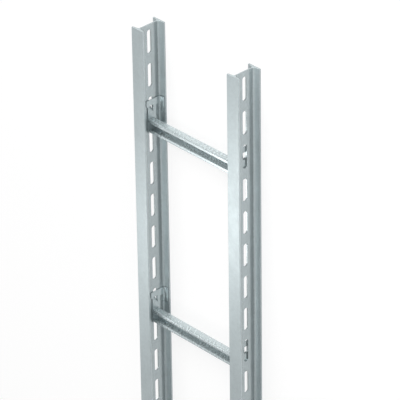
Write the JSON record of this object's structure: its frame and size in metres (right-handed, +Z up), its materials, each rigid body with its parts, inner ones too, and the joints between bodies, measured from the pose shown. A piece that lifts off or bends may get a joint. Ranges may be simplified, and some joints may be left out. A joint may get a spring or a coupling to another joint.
{
  "type": "cable ladder section",
  "caption": "Straight length of heavy-duty cable ladder: slotted I-section rails joined by open C-section rungs.",
  "frame": {"origin": "on the floor, midway between the rails and midway along them", "axes": "X across the ladder, Y along the rails with the first rung nearest the +Y end, Z up from the rear flanges to the front faces"},
  "size_m": [0.4, 3, 0.08],
  "materials": {
    "rail_steel": "hot-dip galvanised, matt, with faint mottling",
    "rung_steel": "galvanised strip, satin",
    "bracket_steel": "hot-dip galvanised pressing, matt"
  },
  "bodies": {
    "root": {"rail_left": "rail_steel", "rail_right": "rail_steel", "rung_1": "rung_steel", "rung_2": "rung_steel", "rung_3": "rung_steel", "rung_4": "rung_steel", "rung_5": "rung_steel", "bracket_left_1": "bracket_steel", "bracket_left_2": "bracket_steel", "bracket_left_3": "bracket_steel", "bracket_left_4": "bracket_steel", "bracket_left_5": "bracket_steel", "bracket_right_1": "bracket_steel", "bracket_right_2": "bracket_steel", "bracket_right_3": "bracket_steel", "bracket_right_4": "bracket_steel", "bracket_right_5": "bracket_steel"}
  },
  "joints": []
}
